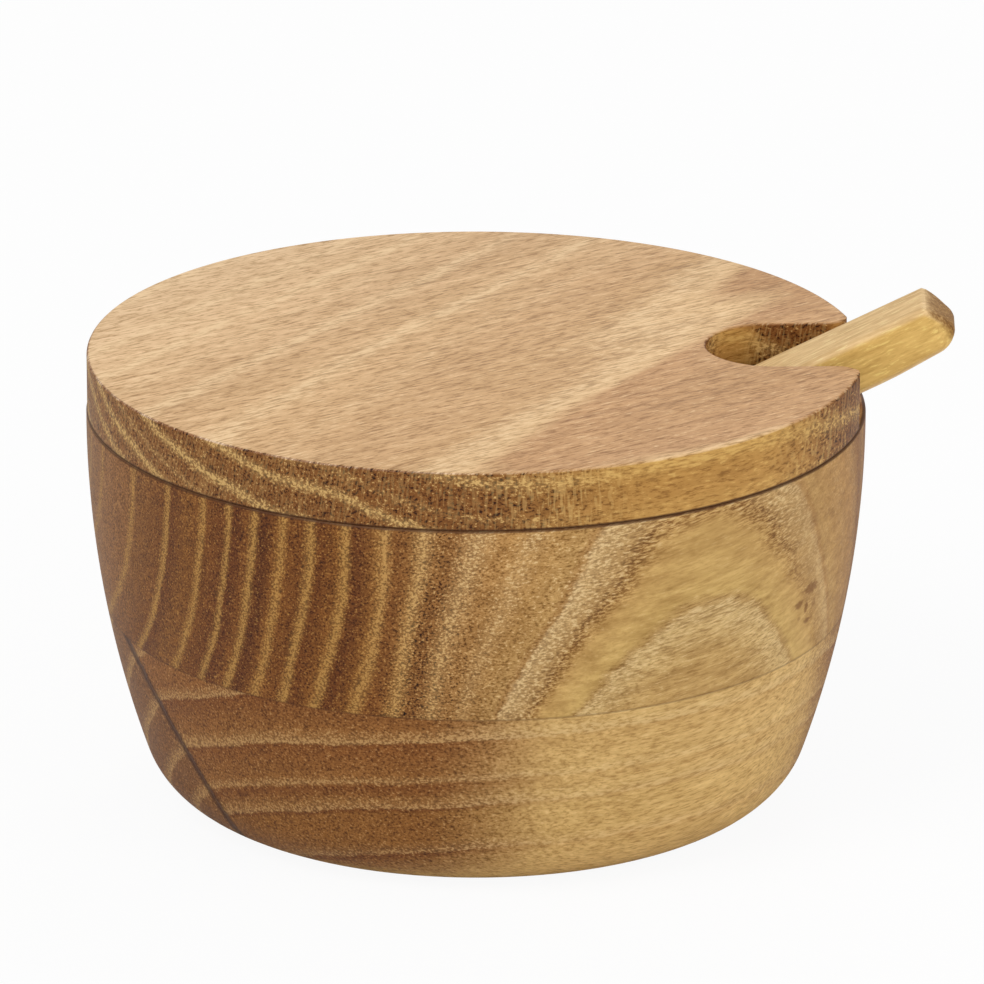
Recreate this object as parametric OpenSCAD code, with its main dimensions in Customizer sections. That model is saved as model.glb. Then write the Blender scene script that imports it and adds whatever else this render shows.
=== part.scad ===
// Turned wooden salt bowl with a loose lid, and a wooden spoon that stands in the lid's notch.
// Z is up, the base rests on z = 0, the axis of the turning is x = y = 0,
// and the notch and the spoon's handle point along +X.

/* [Bowl] */
// Diameter of the bowl at its widest level, just below the rim
rim_d = 120; // [112:1:130]
// Height of the bowl, from the table to the face of its rim
bowl_h = 62; // [58:1:66]
// Radius of the long arc of the side, seen from the front
side_arc_r = 162; // [150:2:200]
// How far the widest level lies below the rim
widest_drop = 1.3; // [0:0.1:2.5]
// Radius of the round corner between the side and the base
base_corner_r = 12.5; // [9:0.5:15]
// Thickness of the wall
wall_t = 7; // [6:0.5:8]
// Thickness of the floor
floor_t = 8; // [6:0.5:10]
// Radius of the hollow's corner between the wall and the floor
hollow_corner_r = 16; // [12:1:20]
// Radius that softens the inner edge of the rim
mouth_edge_r = 1.2; // [0.8:0.1:1.6]
// Radius that softens the outer edge of the rim
rim_edge_r = 0.4; // [0.2:0.1:0.8]

/* [Glued blank] */
// Height of the level glue line between the two boards, as a share of the bowl's height
glue_line_share = 0.503; // [0.48:0.001:0.52]
// How far the strip reaches in from the edge of the flat foot
strip_foot_t = 4.5; // [3:0.1:6]
// How far the strip reaches in from the side, at the level glue line
strip_top_t = 3.2; // [2.6:0.1:4]

/* [Lid] */
// Thickness of the lid at its edge
lid_t = 9.1; // [8.5:0.1:11]
// How far the lid's edge stands back from the bowl's widest level
lid_setback = 0.15; // [0:0.05:0.5]
// Radius that softens the lid's upper and lower edges
lid_edge_r = 0.5; // [0.2:0.1:1]
// Depth of the ring that drops into the mouth of the bowl
plug_depth = 3; // [2:0.5:5]
// Width of that ring
plug_w = 6; // [4:0.5:7]
// Gap all round between the ring and the mouth
plug_gap = 0.7; // [0.4:0.1:1]
// Depth of the dish turned into the lid's underside, above the seat
dish_depth = 2.5; // [2:0.1:3.5]

/* [Notch] */
// Width of the notch
notch_w = 21; // [20:0.5:24]
// Length of the notch, from the lid's edge to its round end
notch_l = 24.5; // [23:0.5:28]
// Radius of the two corners where the notch opens at the edge
notch_mouth_r = 3.5; // [2:0.5:4.5]

/* [Spoon] */
// Slope of the spoon, above level
spoon_slope = 26.7; // [26:0.1:28]
// Turn of the spoon away from the notch's middle line
spoon_yaw = -3.5; // [-4:0.5:4]
// Sideways place of the handle where it crosses the rim
spoon_shift = -1.3; // [-1.4:0.1:1.4]
// Length of the handle past the inner edge of the rim
handle_out = 24.2; // [16:0.2:40]
// Width of the handle
handle_w = 12.9; // [10:0.5:13.5]
// Thickness of the handle
handle_t = 8.2; // [7:0.1:8.4]
// Width of the neck, where the handle is narrowest
neck_w = 10.5; // [8:0.5:12]
// Width of the scoop
scoop_w = 16.5; // [14:0.5:17]
// Length of the scoop, from its tip to its shoulder
scoop_l = 38; // [32:1:44]
// Thickness of the scoop
scoop_t = 6.2; // [5.5:0.1:6.4]
// Depth of the scoop's hollow
scoop_depth = 4.2; // [3:0.1:4.4]
// Gap between the handle's underside and the inner edge of the rim
rest_gap = 0.2; // [0.2:0.1:0.5]
// Gap between the scoop's tip and the far wall of the hollow
tip_gap = 1.6; // [1.4:0.1:3]

/* [Hidden] */
$fn = 96;
eps = 0.01;
upper_wood = [0.70, 0.51, 0.29];
lower_wood = [0.76, 0.58, 0.34];
strip_wood = [0.62, 0.44, 0.25];
lid_wood = [0.74, 0.63, 0.50];
spoon_wood = [0.83, 0.70, 0.42];

// Centre of the long arcs of the side, shared by the outside and the hollow
rim_r = rim_d / 2;
arc_x = rim_r - side_arc_r;
arc_z = bowl_h - widest_drop;
hollow_arc_r = side_arc_r - wall_t;
mouth_r = arc_x + sqrt(pow(hollow_arc_r, 2) - pow(widest_drop, 2));

// Centre of the hollow's round corner
corner_z = floor_t + hollow_corner_r;
corner_x = arc_x + sqrt(pow(hollow_arc_r - hollow_corner_r, 2) - pow(arc_z - corner_z, 2));

// Slanted glue line: from inside the flat foot to inside the side at the level glue line
glue_line_z = bowl_h * glue_line_share;
foot_r = arc_x + sqrt(pow(side_arc_r - base_corner_r, 2) - pow(arc_z - base_corner_r, 2));
side_r = arc_x + sqrt(pow(side_arc_r, 2) - pow(arc_z - glue_line_z, 2));
strip_foot_x = foot_r - strip_foot_t;
strip_lean = atan((side_r - strip_top_t - strip_foot_x) / glue_line_z);

// Lid
lid_r = rim_r - lid_setback;
plug_r = mouth_r - plug_gap;
dish_r = plug_r - plug_w;
dish_edge_r = 1.5;
plug_lead_in = 0.6;
notch_end_x = lid_r - notch_l;
notch_mid_x = notch_end_x + notch_w / 2;
mouth_crease = 0.25;

// Spoon: distances along its underside are measured from the inner edge of the rim,
// and its tip stops short of where its middle line meets the hollow's round corner.
rest_z = bowl_h + rest_gap;
from_corner = [mouth_r + corner_x, rest_z - corner_z];
along = from_corner[0] * cos(spoon_slope) + from_corner[1] * sin(spoon_slope);
above = from_corner[1] * cos(spoon_slope) - from_corner[0] * sin(spoon_slope) + scoop_t / 2;
tip_in = along + sqrt(pow(hollow_corner_r, 2) - pow(above, 2)) - tip_gap;
spoon_l = tip_in + handle_out;
nose_l = 15;
nose_rise = 3.4;
nose_drop = 1.2;
neck_at = scoop_l + 8;
handle_full_at = 88;
end_round = 3.4;
end_draw_w = 2.6;
end_draw_under = 2.4;
end_draw_over = 3.0;
end_lift = 0.7;
scoop_wall = 1.7;

// ---- Outlines, drawn as the half section right of the axis: x is the radius, y is the height ----

// Everything inside a long side arc, with a round corner down to a level bottom
module bowl_outline(arc_r, corner_r, bottom, top) {
    mid_z = bottom + corner_r;
    mid_x = arc_x + sqrt(pow(arc_r - corner_r, 2) - pow(arc_z - mid_z, 2));
    meet_z = arc_z - (arc_z - mid_z) * arc_r / (arc_r - corner_r);
    intersection() {
        translate([arc_x, arc_z]) circle(r = arc_r, $fn = 720);
        union() {
            translate([0, meet_z]) square([rim_d, top - meet_z]);
            translate([0, bottom]) square([mid_x, top - bottom]);
            translate([mid_x, mid_z]) circle(r = corner_r);
        }
    }
}

// What an edge loses when it is rounded; the edge is at the origin, its material toward -x and -y
module edge_waste(r) {
    difference() {
        translate([-r, -r]) square(2 * r);
        translate([-r, -r]) circle(r = r);
    }
}

module bowl_section() {
    difference() {
        bowl_outline(side_arc_r, base_corner_r, 0, bowl_h);
        bowl_outline(hollow_arc_r, hollow_corner_r, floor_t, bowl_h + 1);
        translate([mouth_r, bowl_h]) mirror([1, 0]) edge_waste(mouth_edge_r);
        translate([rim_r, bowl_h]) edge_waste(rim_edge_r);
    }
}

module lid_section() {
    difference() {
        union() {
            translate([0, bowl_h]) square([lid_r, lid_t]);
            translate([0, bowl_h - plug_depth]) square([plug_r, plug_depth + eps]);
        }
        translate([-eps, bowl_h - plug_depth - 1]) square([dish_r + eps, plug_depth + 1]);
        translate([-eps, bowl_h - eps]) square([dish_r - dish_edge_r + eps, dish_depth + eps]);
        translate([-eps, bowl_h - eps]) square([dish_r + eps, dish_depth - dish_edge_r + eps]);
        translate([dish_r - dish_edge_r, bowl_h + dish_depth - dish_edge_r]) circle(r = dish_edge_r);
        translate([lid_r, bowl_h + lid_t]) edge_waste(lid_edge_r);
        translate([lid_r, bowl_h]) mirror([0, 1]) edge_waste(lid_edge_r / 2);
        translate([plug_r, bowl_h - plug_depth]) rotate(45) square(plug_lead_in * sqrt(2), center = true);
    }
}

// ---- Bowl, glued up from two boards and a strip before it is turned ----

module bowl_turning() {
    rotate_extrude() bowl_section();
}

module below_glue_line() {
    translate([-rim_d, -rim_d, -1]) cube([2 * rim_d, 2 * rim_d, glue_line_z + 1]);
}

// The space on the left of the slanted glue line
module beside_strip_line() {
    translate([-strip_foot_x, 0, 0]) rotate([0, -strip_lean, 0])
        translate([-rim_d, -rim_d, -rim_d]) cube([rim_d, 2 * rim_d, 2 * rim_d]);
}

module bowl_upper_board() {
    color(upper_wood) difference() {
        bowl_turning();
        below_glue_line();
    }
}

module bowl_lower_board() {
    color(lower_wood) difference() {
        intersection() {
            bowl_turning();
            below_glue_line();
        }
        beside_strip_line();
    }
}

module bowl_side_strip() {
    color(strip_wood) intersection() {
        bowl_turning();
        below_glue_line();
        beside_strip_line();
    }
}

// ---- Lid ----

// The notch seen from above: a round end, straight sides, and two rounded corners at the edge,
// whose circles reach just past the edge, so that each corner ends in a faint crease there
module notch_outline() {
    mouth_y = notch_w / 2 + notch_mouth_r;
    mouth_x = sqrt(pow(lid_r - notch_mouth_r + mouth_crease, 2) - pow(mouth_y, 2));
    translate([notch_mid_x, 0]) circle(d = notch_w);
    translate([notch_mid_x, -notch_w / 2]) square([rim_r, notch_w]);
    for (side = [-1, 1]) difference() {
        polygon([[mouth_x, 0], [mouth_x, side * mouth_y], [2 * mouth_x, side * 2 * mouth_y], [2 * mouth_x, 0]]);
        translate([mouth_x, side * mouth_y]) circle(r = notch_mouth_r);
    }
}

module lid() {
    color(lid_wood) difference() {
        rotate_extrude() lid_section();
        translate([0, 0, bowl_h - plug_depth - 1])
            linear_extrude(lid_t + plug_depth + 2) notch_outline();
    }
}

// ---- Spoon, drawn along +X with its tip at the origin and its underside at z = 0 ----

// 0 before a, 1 after b, and a smooth rise between them
function smooth(x, a, b) =
    let (t = min(1, max(0, (x - a) / (b - a)))) t * t * (3 - 2 * t);

// Quarter-ellipse rise from 0 at x = 0 to 1 at x = l
function quarter(x, l) = x >= l ? 1 : sqrt(1 - pow(1 - x / l, 2));

// Half width, underside and top of the spoon at a distance x from its tip
function half_w(x) = quarter(x, nose_l) * (scoop_w
    + (neck_w - scoop_w) * smooth(x, nose_l, neck_at)
    + (handle_w - neck_w) * smooth(x, neck_at, handle_full_at)) / 2 - end_draw_w * end_share(x);
function under(x) = nose_rise * (1 - quarter(x, nose_l)) + end_draw_under * end_share(x)
    + end_lift * smooth(x, spoon_l - 4 * end_round, spoon_l);
function over(x) = scoop_t - nose_drop * (1 - quarter(x, nose_l))
    + (handle_t - scoop_t) * smooth(x, scoop_l - 4, neck_at + 14) - end_draw_over * end_share(x);

// How far the blunt, rounded end of the handle has drawn in: 0 where it starts, 1 at the end
function end_share(x) = 1 - quarter(spoon_l - x, end_round);

// Corner radii of the section: the scoop's underside is boat-shaped
function under_r(x) = 1.5 + 3 * (1 - smooth(x, scoop_l - 8, neck_at));
over_r = 1.6;

corner_steps = 5;
function corner(x, side_y, side_z, r, start) = let (
    h = half_w(x), lo = under(x), hi = over(x),
    q = min(r, h - 0.05, (hi - lo) * 0.48),
    cy = side_y * (h - q),
    cz = side_z > 0 ? hi - q : lo + q)
    [for (i = [0 : corner_steps]) let (a = start + 90 * i / corner_steps)
        [x, cy + q * cos(a), cz + q * sin(a)]];

function ring(x) = concat(
    corner(x, 1, 1, over_r, 0), corner(x, -1, 1, over_r, 90),
    corner(x, -1, -1, under_r(x), 180), corner(x, 1, -1, under_r(x), 270));

// Stations along the spoon, closer together at the round tip and at the round end
nose_steps = 10;
body_steps = 34;
end_steps = 6;
stations = concat(
    [for (i = [0 : nose_steps - 1]) 0.02 + nose_l * (1 - cos(90 * i / nose_steps))],
    [for (i = [0 : body_steps - 1]) nose_l + (spoon_l - end_round - nose_l) * i / body_steps],
    [for (i = [0 : end_steps]) spoon_l - end_round * (1 - 0.995 * sin(90 * i / end_steps))]);

module spoon_blank() {
    n = 4 * (corner_steps + 1);
    rows = len(stations);
    points = [for (x = stations) each ring(x)];
    sides = [for (i = [0 : rows - 2], j = [0 : n - 1]) let (k = (j + 1) % n)
        [i * n + j, (i + 1) * n + j, (i + 1) * n + k, i * n + k]];
    tip = [[for (j = [0 : n - 1]) j]];
    butt = [[for (j = [0 : n - 1]) (rows - 1) * n + n - 1 - j]];
    polyhedron(points, concat(tip, sides, butt), convexity = 4);
}

// A spindle lying along x: an arc turned about its chord
module spindle(l, r) {
    arc_r = (pow(l / 2, 2) + pow(r, 2)) / (2 * r);
    rotate([0, 90, 0]) rotate_extrude($fn = 64) intersection() {
        translate([r - arc_r, 0]) circle(r = arc_r, $fn = 180);
        translate([0, -l]) square([2 * r, 2 * l]);
    }
}

module spoon() {
    hollow_l = scoop_l - 6;
    hollow_r = 7.5;
    color(spoon_wood)
        translate([mouth_r, spoon_shift, rest_z]) rotate([0, -spoon_slope, spoon_yaw])
            translate([-tip_in, 0, 0]) difference() {
                spoon_blank();
                translate([scoop_wall + hollow_l / 2, 0, scoop_t - scoop_depth + hollow_r])
                    spindle(hollow_l, hollow_r);
            }
}

bowl_upper_board();
bowl_lower_board();
bowl_side_strip();
lid();
spoon();
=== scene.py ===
# A turned wooden salt bowl, glued up from two boards and a strip, with a flush lid that lifts off
# and a wooden spoon that stands in the lid's notch. Lengths are metres, but the grain of the
# timber is described in millimetres.
from math import asin, atan, atan2, cos, degrees, pi, radians, sin, sqrt

import bmesh
import bpy
from mathutils import Euler, Matrix, Vector


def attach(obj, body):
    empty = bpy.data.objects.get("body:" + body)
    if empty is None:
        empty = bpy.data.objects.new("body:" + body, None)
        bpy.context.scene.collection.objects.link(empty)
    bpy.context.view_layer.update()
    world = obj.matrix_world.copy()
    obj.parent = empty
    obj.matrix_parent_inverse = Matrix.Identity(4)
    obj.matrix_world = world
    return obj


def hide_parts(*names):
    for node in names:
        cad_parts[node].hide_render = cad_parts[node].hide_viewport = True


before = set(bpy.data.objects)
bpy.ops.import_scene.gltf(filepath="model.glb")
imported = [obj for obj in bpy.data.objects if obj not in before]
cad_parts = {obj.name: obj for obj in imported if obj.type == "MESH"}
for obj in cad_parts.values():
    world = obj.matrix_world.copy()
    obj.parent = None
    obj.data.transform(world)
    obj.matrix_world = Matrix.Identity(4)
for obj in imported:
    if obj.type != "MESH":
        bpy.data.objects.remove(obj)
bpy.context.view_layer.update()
MM = 0.001

# ---- Camera ----
# A long lens, 1.4 m from the middle of the lid's face and 19 degrees above it. The object
# stands a little left of and above the middle of the picture, and the notch points right.

lid_face_height = 71.1 * MM
camera_azimuth = radians(-2.0)
camera_elevation = radians(19.02)
camera_roll = radians(0.105)
camera_distance = 1.4
picture_px = 984
focal_px = 9108
lid_centre_px = (475.85, 347.1)

camera_data = bpy.data.cameras.new("camera")
camera_data.sensor_width = 36
camera_data.lens = camera_data.sensor_width * focal_px / picture_px
camera = bpy.data.objects.new("camera", camera_data)
bpy.context.scene.collection.objects.link(camera)
bpy.context.scene.camera = camera

camera_turn = Euler((pi / 2 - camera_elevation, 0, camera_azimuth)).to_matrix()
right_of_axis = (lid_centre_px[0] - picture_px / 2) / focal_px
above_axis = (picture_px / 2 - lid_centre_px[1]) / focal_px
to_lid = camera_turn @ Vector((right_of_axis, above_axis, -1)) * camera_distance
camera_place = Vector((0, 0, lid_face_height)) - to_lid
camera_turn = camera_turn @ Matrix.Rotation(camera_roll, 3, "Z")
camera.matrix_world = Matrix.Translation(camera_place) @ camera_turn.to_4x4()


# ---- Studio ----
# A white table top, seen as nearly white by the camera, with a soft shadow, and large soft
# lamps: one high on the left in front, one lower on the right, under an even white sky.

def soft_lamp(name, place, aim, size, power):
    lamp = bpy.data.lights.new(name, "AREA")
    lamp.shape = "DISK"
    lamp.size = size
    lamp.energy = power
    holder = bpy.data.objects.new(name, lamp)
    bpy.context.scene.collection.objects.link(holder)
    holder.location = place
    holder.rotation_euler = (Vector(aim) - Vector(place)).to_track_quat("-Z", "Y").to_euler()


bpy.context.scene.view_settings.view_transform = "Standard"
bowl_middle, lid_middle = (0, 0, 0.04), (0, 0, 0.06)
soft_lamp("key_lamp", (-0.75, -0.75, 1.25), bowl_middle, size=0.9, power=11)
soft_lamp("fill_lamp", (1.1, -0.9, 0.6), bowl_middle, size=0.9, power=7)
soft_lamp("back_lamp", (0.3, 1.2, 1.1), lid_middle, size=0.7, power=5)

world = bpy.data.worlds.new("white_room")
bpy.context.scene.world = world
world.use_nodes = True
sky = world.node_tree.nodes["Background"]
sky.inputs["Color"].default_value = (1, 1, 1, 1)
sky_paths = world.node_tree.nodes.new("ShaderNodeLightPath")
sky_level = world.node_tree.nodes.new("ShaderNodeMapRange")
light_given, light_seen = 0.5, 1.0
sky_level.inputs["To Min"].default_value = light_given
sky_level.inputs["To Max"].default_value = light_seen
world.node_tree.links.new(sky_paths.outputs["Is Camera Ray"], sky_level.inputs["Value"])
world.node_tree.links.new(sky_level.outputs["Result"], sky.inputs["Strength"])

bpy.ops.object.select_all(action="DESELECT")
bpy.ops.mesh.primitive_plane_add(size=6, location=(0, 0, 0))
table_top = bpy.context.object
table_top.name = "table_top"
table_white = bpy.data.materials.new("table_white")
table_white.use_nodes = True
table_nodes = table_white.node_tree.nodes
table_links = table_white.node_tree.links
table_nodes.clear()
table_out = table_nodes.new("ShaderNodeOutputMaterial")
table_mix = table_nodes.new("ShaderNodeMixShader")
table_lit = table_nodes.new("ShaderNodeBsdfDiffuse")
table_lit.inputs["Color"].default_value = (0.8, 0.8, 0.8, 1)
table_plain = table_nodes.new("ShaderNodeEmission")
table_plain.inputs["Color"].default_value = (1, 1, 1, 1)
table_paths = table_nodes.new("ShaderNodeLightPath")
table_share = table_nodes.new("ShaderNodeMapRange")
plain_white_share = 0.93
table_share.inputs["To Max"].default_value = plain_white_share
table_links.new(table_paths.outputs["Is Camera Ray"], table_share.inputs["Value"])
table_links.new(table_share.outputs["Result"], table_mix.inputs["Fac"])
table_links.new(table_lit.outputs["BSDF"], table_mix.inputs[1])
table_links.new(table_plain.outputs["Emission"], table_mix.inputs[2])
table_links.new(table_mix.outputs["Shader"], table_out.inputs["Surface"])
table_top.data.materials.append(table_white)


# ---- Bowl ----
# The bowl is turned on a lathe from a glued-up blank: two boards, one on the other, with a
# strip glued along the left of the lower one. It is turned here whole and then parted into
# those three pieces, along a level glue line and a slanted one.

def arc(centre_r, centre_z, radius, first, last, steps):
    """Points of a half section on an arc; angles in degrees, 0 outwards and 90 up."""
    angles = [radians(first + (last - first) * i / steps) for i in range(steps + 1)]
    return [(centre_r + radius * cos(a), centre_z + radius * sin(a)) for a in angles]


def take_up(piece):
    """Select a piece alone, and make it the active one."""
    bpy.ops.object.select_all(action="DESELECT")
    piece.select_set(True)
    bpy.context.view_layer.objects.active = piece


def place_in_mesh(piece):
    """Put the object at the origin, unturned and unscaled, with its place in its mesh."""
    take_up(piece)
    bpy.ops.object.transform_apply(location=True, rotation=True, scale=True)


def shade(piece, angle=40):
    """Smooth shading, but for edges sharper than angle degrees."""
    take_up(piece)
    bpy.ops.object.shade_smooth_by_angle(angle=radians(angle))


def extrude_round(half_section):
    """Extrude the selected disc through a half section that starts at the disc's edge."""
    last_r, last_z = half_section[0]
    for next_r, next_z in half_section[1:]:
        bpy.ops.mesh.extrude_region_move(
            TRANSFORM_OT_translate={"value": (0, 0, next_z - last_z)})
        scale = next_r / last_r
        bpy.ops.transform.resize(value=(scale, scale, 1), center_override=(0, 0, 0))
        last_r, last_z = next_r, next_z


def turned(name, half_section, facets=256):
    """Turn a half section, which runs from the foot's edge round to the last face's edge."""
    bpy.ops.object.select_all(action="DESELECT")
    first_r, first_z = half_section[0]
    bpy.ops.mesh.primitive_circle_add(
        vertices=facets, radius=first_r, fill_type="NGON", location=(0, 0, first_z))
    piece = bpy.context.object
    piece.name = name
    bpy.ops.object.mode_set(mode="EDIT")
    bpy.ops.mesh.select_all(action="SELECT")
    extrude_round(half_section)
    bpy.ops.mesh.select_all(action="SELECT")
    bpy.ops.mesh.normals_make_consistent(inside=False)
    bpy.ops.object.mode_set(mode="OBJECT")
    place_in_mesh(piece)
    return piece


def part_off(piece, point, normal):
    """Keep what lies behind a plane through point, and close the cut."""
    take_up(piece)
    bpy.ops.object.mode_set(mode="EDIT")
    bpy.ops.mesh.select_all(action="SELECT")
    bpy.ops.mesh.bisect(plane_co=point, plane_no=normal, use_fill=True, clear_outer=True)
    bpy.ops.object.mode_set(mode="OBJECT")


rim_r = 60 * MM
bowl_height = 62 * MM
side_arc_r = 162 * MM
widest_drop = 1.3 * MM
foot_corner_r = 12.5 * MM
rim_edge_r = 0.4 * MM
mouth_edge_r = 1.2 * MM
wall = 7 * MM
floor_thickness = 8 * MM
hollow_corner_r = 16 * MM
hollow_arc_r = side_arc_r - wall
arc_r0 = rim_r - side_arc_r
arc_z0 = bowl_height - widest_drop
mouth_r = arc_r0 + sqrt(hollow_arc_r ** 2 - widest_drop ** 2)
side_steps, corner_steps = 44, 18


def side_and_corner(arc_radius, corner_radius, bottom, top):
    """The long side arc from top down to where it meets the round corner, and that corner."""
    corner_z = bottom + corner_radius
    corner_r = arc_r0 + sqrt((arc_radius - corner_radius) ** 2 - (arc_z0 - corner_z) ** 2)
    meet = degrees(atan2(corner_z - arc_z0, corner_r - arc_r0))
    start = degrees(asin((top - arc_z0) / arc_radius))
    side = arc(arc_r0, arc_z0, arc_radius, start, meet, side_steps)
    corner = arc(corner_r, corner_z, corner_radius, meet, -90, corner_steps)
    return side + corner[1:]


outside = side_and_corner(side_arc_r, foot_corner_r, 0, bowl_height - rim_edge_r)
hollow = side_and_corner(
    hollow_arc_r, hollow_corner_r, floor_thickness, bowl_height - mouth_edge_r)
bowl_section = (
    outside[::-1]
    + arc(rim_r - rim_edge_r, bowl_height - rim_edge_r, rim_edge_r, 0, 90, 4)[1:]
    + arc(mouth_r + mouth_edge_r, bowl_height - mouth_edge_r, mouth_edge_r, 90, 180, 6)
    + hollow[1:])

glue_line_share = 0.503
glue_line_z = bowl_height * glue_line_share
strip_foot_width, strip_top_width = 4.5 * MM, 3.2 * MM
foot_r = arc_r0 + sqrt((side_arc_r - foot_corner_r) ** 2 - (arc_z0 - foot_corner_r) ** 2)
side_r = arc_r0 + sqrt(side_arc_r ** 2 - (arc_z0 - glue_line_z) ** 2)
strip_foot_x = strip_foot_width - foot_r
strip_lean = atan((side_r - strip_top_width + strip_foot_x) / glue_line_z)
strip_side = (-cos(strip_lean), 0, -sin(strip_lean))
other_side = (cos(strip_lean), 0, sin(strip_lean))

upper_board = turned("upper_board_turned", bowl_section)
part_off(upper_board, (0, 0, glue_line_z), (0, 0, -1))
lower_board = turned("lower_board_turned", bowl_section)
part_off(lower_board, (0, 0, glue_line_z), (0, 0, 1))
part_off(lower_board, (strip_foot_x, 0, 0), strip_side)
side_strip = turned("side_strip_turned", bowl_section)
part_off(side_strip, (0, 0, glue_line_z), (0, 0, 1))
part_off(side_strip, (strip_foot_x, 0, 0), other_side)


def srgb(red, green, blue):
    """A colour as it shows on a screen, from 0 to 255, as the linear values of a shader."""
    return tuple(pow((c / 255 + 0.055) / 1.055, 2.4) for c in (red, green, blue)) + (1,)


def node_at(tree, kind, **settings):
    node = tree.nodes.new(kind)
    for key, value in settings.items():
        setattr(node, key, value)
    return node


def feed(tree, socket, value):
    """Set a socket to a number or a colour, or link it to another socket."""
    if isinstance(value, (int, float, tuple)):
        socket.default_value = value
    elif value is not None:
        tree.links.new(value, socket)


def math_node(tree, operation, first, second=None, third=None):
    node = node_at(tree, "ShaderNodeMath", operation=operation)
    for socket, value in zip(node.inputs, (first, second, third)):
        feed(tree, socket, value)
    return node.outputs["Value"]


def times(tree, product, *factors):
    for factor in factors:
        product = math_node(tree, "MULTIPLY", product, factor)
    return product


def plus(tree, total, *others):
    for other in others:
        total = math_node(tree, "ADD", total, other)
    return total


def minus(tree, first, second):
    return math_node(tree, "SUBTRACT", first, second)


def vector_node(tree, operation, first, second=None):
    node = node_at(tree, "ShaderNodeVectorMath", operation=operation)
    feed(tree, node.inputs[0], first)
    feed(tree, node.inputs[1], second)
    return node.outputs["Value" if operation in ("DOT_PRODUCT", "LENGTH") else "Vector"]


def noise_node(tree, vector, stretch, scale, detail, roughness):
    """Noise whose cells are 1 / scale wide, and longer where stretch is below 1."""
    node = node_at(tree, "ShaderNodeTexNoise")
    feed(tree, node.inputs["Scale"], scale)
    node.inputs["Detail"].default_value = detail
    node.inputs["Roughness"].default_value = roughness
    tree.links.new(vector_node(tree, "MULTIPLY", vector, stretch), node.inputs["Vector"])
    return node.outputs["Fac"]


def mapped(tree, value, low, high, to_low=0.0, to_high=1.0, kind="SMOOTHSTEP"):
    node = node_at(tree, "ShaderNodeMapRange", interpolation_type=kind, clamp=True)
    names = ("Value", "From Min", "From Max", "To Min", "To Max")
    for name, number in zip(names, (value, low, high, to_low, to_high)):
        feed(tree, node.inputs[name], number)
    return node.outputs["Result"]


# A Mix node has one set of sockets for each kind of data; these are the ones for colours
mix_factor, mix_first, mix_second, mix_result = 0, 6, 7, 2


def mixed(tree, factor, first, second, blend="MIX"):
    node = node_at(tree, "ShaderNodeMix", data_type="RGBA", blend_type=blend)
    feed(tree, node.inputs[mix_factor], factor)
    feed(tree, node.inputs[mix_first], first)
    feed(tree, node.inputs[mix_second], second)
    return node.outputs[mix_result]


def stained(tree, colour, stain):
    """A colour multiplied by a stain's colour."""
    return mixed(tree, 1.0, colour, stain, "MULTIPLY")


def swing(tree, value, depth):
    """A factor about 1: value's swing about one half, times depth."""
    return math_node(tree, "MULTIPLY_ADD", minus(tree, value, 0.5), depth, 1.0)


def new_sockets(group, direction, kind, names):
    for name in names:
        group.interface.new_socket(name, in_out=direction, socket_type=kind)


def distance_from(tree, sideways, up):
    squares = (math_node(tree, "POWER", sideways, 2), math_node(tree, "POWER", up, 2))
    return math_node(tree, "SQRT", plus(tree, *squares))


# How solid timber is grown, in millimetres. In Ring Place the heart of the tree is the X axis,
# and in Fibre Place the fibres run along X. It puts out the distance from the heart, warped
# as growth is, and the noises behind pores, flecks, fibre streaks, rays and clouds of colour.
# Past Shift From the rings grow round a second heart, as in a trunk that leans. Rays run out
# from the heart, spaced as they are at Ray Radius.

structure = bpy.data.node_groups.new("timber_structure", "ShaderNodeTree")
new_sockets(structure, "INPUT", "NodeSocketVector", ("Ring Place", "Fibre Place"))
new_sockets(structure, "INPUT", "NodeSocketFloat", (
    "Warp", "Heart Shift Y", "Heart Shift Z", "Ring Shift", "Shift From", "Shift To",
    "Ray Radius", "Pore Scale"))
new_sockets(structure, "OUTPUT", "NodeSocketFloat", (
    "Ring", "Pore", "Fleck", "Streak", "Ray", "Cloud"))
grown = node_at(structure, "NodeGroupInput").outputs
grown_out = node_at(structure, "NodeGroupOutput").inputs
axes = node_at(structure, "ShaderNodeSeparateXYZ")
structure.links.new(grown["Ring Place"], axes.inputs["Vector"])

ring = distance_from(structure, axes.outputs["Y"], axes.outputs["Z"])
far_ring = distance_from(
    structure,
    plus(structure, axes.outputs["Y"], grown["Heart Shift Y"]),
    plus(structure, axes.outputs["Z"], grown["Heart Shift Z"]))
far_ring = plus(structure, far_ring, grown["Ring Shift"])
far_share = mapped(structure, axes.outputs["Y"], grown["Shift From"], grown["Shift To"])
far_gain = minus(structure, far_ring, ring)
ring = math_node(structure, "MULTIPLY_ADD", far_share, far_gain, ring)

# The rings wander over some 16 mm, by a share of Warp, and ripple over 2 mm
ripple_reach = 0.9
wave = noise_node(structure, grown["Ring Place"], (0.35, 1, 1), 0.06, 2.0, 0.5)
wave = times(structure, minus(structure, wave, 0.5), grown["Warp"])
ripple = noise_node(structure, grown["Ring Place"], (0.25, 1, 1), 0.5, 2.0, 0.6)
ripple = math_node(structure, "MULTIPLY_ADD", ripple, ripple_reach, -ripple_reach / 2)
ring = plus(structure, ring, wave, ripple)
structure.links.new(ring, grown_out["Ring"])

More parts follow.
